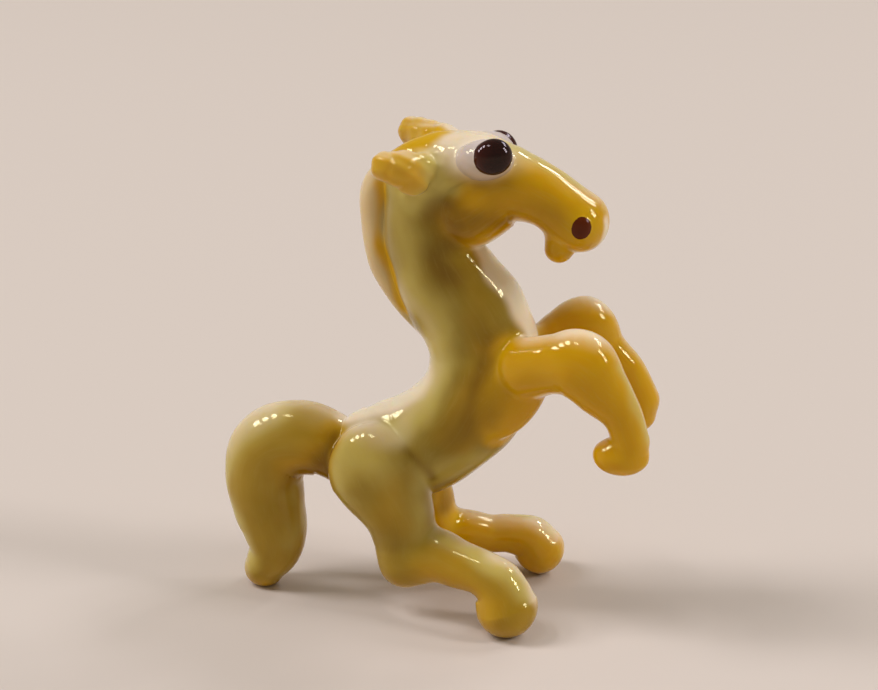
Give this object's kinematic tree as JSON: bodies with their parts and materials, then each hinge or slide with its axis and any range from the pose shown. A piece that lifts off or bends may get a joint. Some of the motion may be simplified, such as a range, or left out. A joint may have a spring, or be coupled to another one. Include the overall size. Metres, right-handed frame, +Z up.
{
  "type": "glass horse figurine",
  "caption": "Small lampworked glass horse that rears on its haunches and rests on its hind hooves and tail tip.",
  "frame": {"origin": "on the surface the figurine stands on, under the middle of its bounding box", "axes": "+Z up, +X the way the horse faces, -Y its right side"},
  "size_m": [0.0389, 0.0173, 0.0438],
  "materials": {
    "ivory_glass": "fire-polished, opalescent ivory with a soft amber streak inside",
    "pale_ivory_glass": "fire-polished, opalescent yellowish ivory",
    "honey_glass": "fire-polished, milky honey",
    "amber_glass": "fire-polished, translucent amber",
    "eye_white_glass": "fire-polished, pinkish white",
    "dark_glass": "fire-polished, near black with a red-brown rim",
    "maroon_glass": "fire-polished, dark maroon"
  },
  "bodies": {
    "root": {"torso": "ivory_glass", "neck": "ivory_glass", "head": "ivory_glass", "muzzle": "amber_glass", "lower_lip": "amber_glass", "mane": "amber_glass", "tail": "honey_glass", "right_haunch": "pale_ivory_glass", "left_haunch": "pale_ivory_glass", "right_hind_leg": "honey_glass", "left_hind_leg": "honey_glass", "right_foreleg": "amber_glass", "left_foreleg": "amber_glass", "right_ear": "amber_glass", "left_ear": "amber_glass", "right_eye": "eye_white_glass", "left_eye": "eye_white_glass", "right_pupil": "dark_glass", "left_pupil": "dark_glass", "right_nostril": "maroon_glass", "left_nostril": "maroon_glass"}
  },
  "joints": []
}
